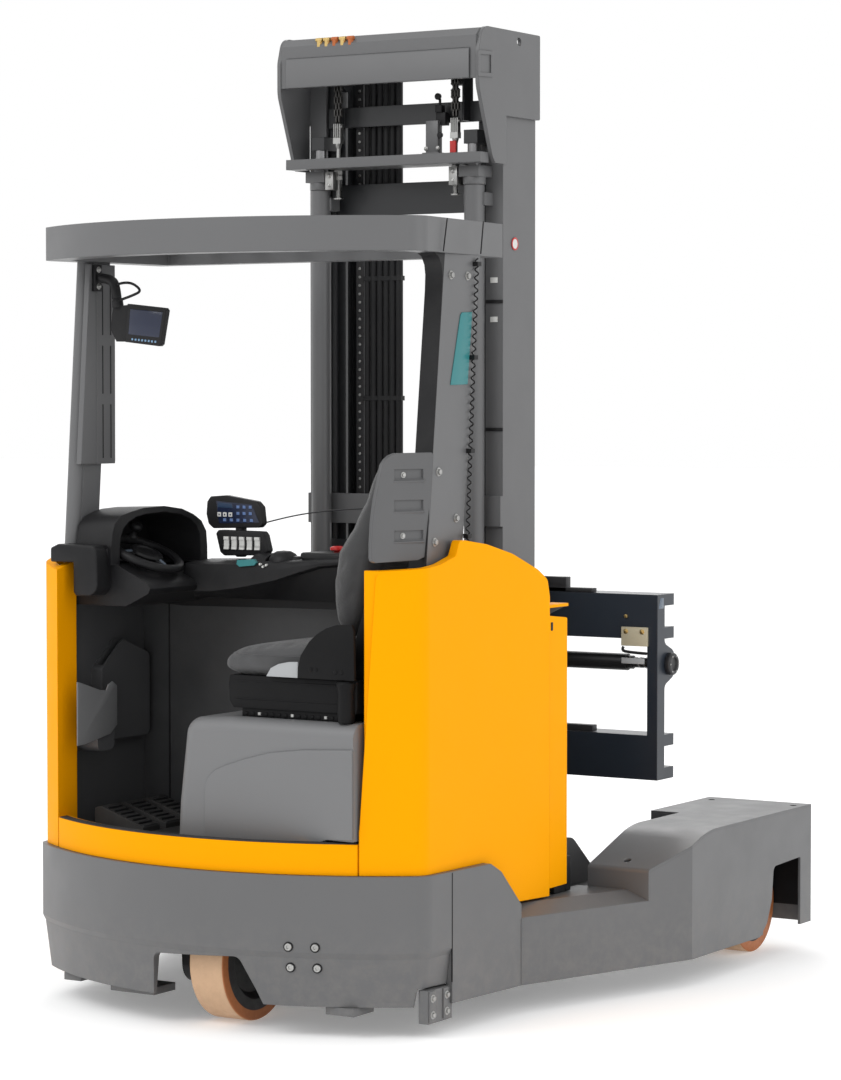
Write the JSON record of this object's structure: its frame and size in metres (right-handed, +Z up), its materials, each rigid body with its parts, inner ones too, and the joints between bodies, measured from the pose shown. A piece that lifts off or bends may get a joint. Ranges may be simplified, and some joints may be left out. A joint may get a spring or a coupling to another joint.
{
  "type": "four-way reach truck",
  "caption": "Sit-on four-way reach truck with a wide fork positioner, triple telescopic mast and steered load wheels in its arms.",
  "frame": {"origin": "on the floor, at the middle of the overall length and width", "axes": "+X towards the forks, +Y to the truck's left (the way the driver faces), +Z up"},
  "size_m": [2.559, 1.8, 2.781],
  "materials": {
    "grey_paint": "satin",
    "yellow_paint": "satin",
    "mast_steel": "satin",
    "black_plastic": "matte",
    "tyre_polyurethane": "satin",
    "fork_steel": "satin",
    "battery_case": "satin",
    "black_metal": "satin",
    "floor_mat": "matte",
    "grey_plastic": "matte",
    "light_grey_plastic": "matte",
    "display_glass": "glossy",
    "seat_fabric": "matte",
    "grey_metal": "satin",
    "chrome": "glossy",
    "carriage_paint": "satin"
  },
  "bodies": {
    "chassis": {"chassis_frame": "grey_paint", "rear_bumper": "grey_paint", "left_arm": "grey_paint", "left_arm_cover": "grey_paint", "left_reach_rail": "mast_steel", "left_battery_panel": "yellow_paint", "left_body_panel": "yellow_paint", "right_arm": "grey_paint", "right_arm_cover": "grey_paint", "right_reach_rail": "mast_steel", "right_battery_panel": "yellow_paint", "right_body_panel": "yellow_paint", "battery": "battery_case", "drive_motor": "black_metal", "entry_sill": "yellow_paint", "cab_floor": "floor_mat", "cab_front_wall": "grey_plastic", "left_lining": "grey_plastic", "dashboard": "black_plastic", "steering_column": "black_plastic", "control_console": "black_plastic", "display": "display_glass", "seat_base": "light_grey_plastic", "seat_suspension": "black_plastic", "seat_cushion": "seat_fabric", "seat_backrest": "seat_fabric", "side_shield": "grey_plastic", "pedals": "black_plastic", "overhead_guard": "grey_paint", "right_pillar": "grey_paint", "left_pillars": "grey_paint", "accessory_rail": "grey_metal", "monitor": "black_plastic"},
    "drive_unit": {"drive_gearbox": "black_metal"},
    "drive_wheel_body": {"drive_wheel": "tyre_polyurethane"},
    "left_yoke_body": {"left_load_yoke": "grey_paint"},
    "left_wheel_body": {"left_load_wheel": "tyre_polyurethane"},
    "right_yoke_body": {"right_load_yoke": "grey_paint"},
    "right_wheel_body": {"right_load_wheel": "tyre_polyurethane"},
    "steering_wheel_body": {"steering_wheel": "black_plastic"},
    "mast_body": {"reach_carriage": "mast_steel", "outer_mast": "grey_paint", "mast_top_frame": "grey_paint", "lift_cylinders": "grey_paint", "lift_chains": "black_metal"},
    "middle_stage": {"middle_mast": "mast_steel", "piston_rods": "chrome"},
    "inner_stage": {"inner_mast": "mast_steel"},
    "carriage_body": {"lift_carriage": "mast_steel"},
    "frame_body": {"fork_frame": "carriage_paint", "positioner_shaft": "chrome"},
    "left_fork_body": {"left_fork": "fork_steel"},
    "right_fork_body": {"right_fork": "fork_steel"}
  },
  "joints": [
    {"name": "drive_steer", "type": "hinge", "parent": "chassis", "child": "drive_unit", "pos_m": [-1.0555, -0.05, 0.39], "axis": [0, 0, 1], "range_deg": [-90, 90]},
    {"name": "drive_spin", "type": "hinge", "parent": "drive_unit", "child": "drive_wheel_body", "pos_m": [-1.0555, -0.05, 0.1715], "axis": [0, 1, 0], "continuous": true},
    {"name": "left_load_steer", "type": "hinge", "parent": "chassis", "child": "left_yoke_body", "pos_m": [0.6545, 0.735, 0.36], "axis": [0, 0, 1], "range_deg": [-90, 90]},
    {"name": "left_load_spin", "type": "hinge", "parent": "left_yoke_body", "child": "left_wheel_body", "pos_m": [0.6545, 0.735, 0.1425], "axis": [0, 1, 0], "continuous": true},
    {"name": "right_load_steer", "type": "hinge", "parent": "chassis", "child": "right_yoke_body", "pos_m": [0.6545, -0.735, 0.36], "axis": [0, 0, 1], "range_deg": [-90, 90]},
    {"name": "right_load_spin", "type": "hinge", "parent": "right_yoke_body", "child": "right_wheel_body", "pos_m": [0.6545, -0.735, 0.1425], "axis": [0, 1, 0], "continuous": true},
    {"name": "steering_wheel_turn", "type": "hinge", "parent": "chassis", "child": "steering_wheel_body", "pos_m": [-0.8805, 0.4, 1.262], "axis": [0, -0.4067, 0.9135], "continuous": true},
    {"name": "reach", "type": "slide", "parent": "chassis", "child": "mast_body", "axis": [1, 0, 0], "range_m": [0, 0.59]},
    {"name": "mast_lift", "type": "slide", "parent": "mast_body", "child": "middle_stage", "axis": [0, 0, 1], "range_m": [0, 1.9]},
    {"name": "inner_lift", "type": "slide", "parent": "middle_stage", "child": "inner_stage", "axis": [0, 0, 1], "range_m": [0, 1.9]},
    {"name": "carriage_lift", "type": "slide", "parent": "inner_stage", "child": "carriage_body", "axis": [0, 0, 1], "range_m": [-0.07, 1.55]},
    {"name": "side_shift", "type": "slide", "parent": "carriage_body", "child": "frame_body", "axis": [0, 1, 0], "range_m": [-0.1, 0.1]},
    {"name": "left_fork_slide", "type": "slide", "parent": "frame_body", "child": "left_fork_body", "axis": [0, 1, 0], "range_m": [0, 0.45]},
    {"name": "right_fork_slide", "type": "slide", "parent": "frame_body", "child": "right_fork_body", "axis": [0, -1, 0], "range_m": [0, 0.45]}
  ],
  "couplings": [
    {"joint": "inner_lift", "follows": "mast_lift", "ratio": 1}
  ]
}
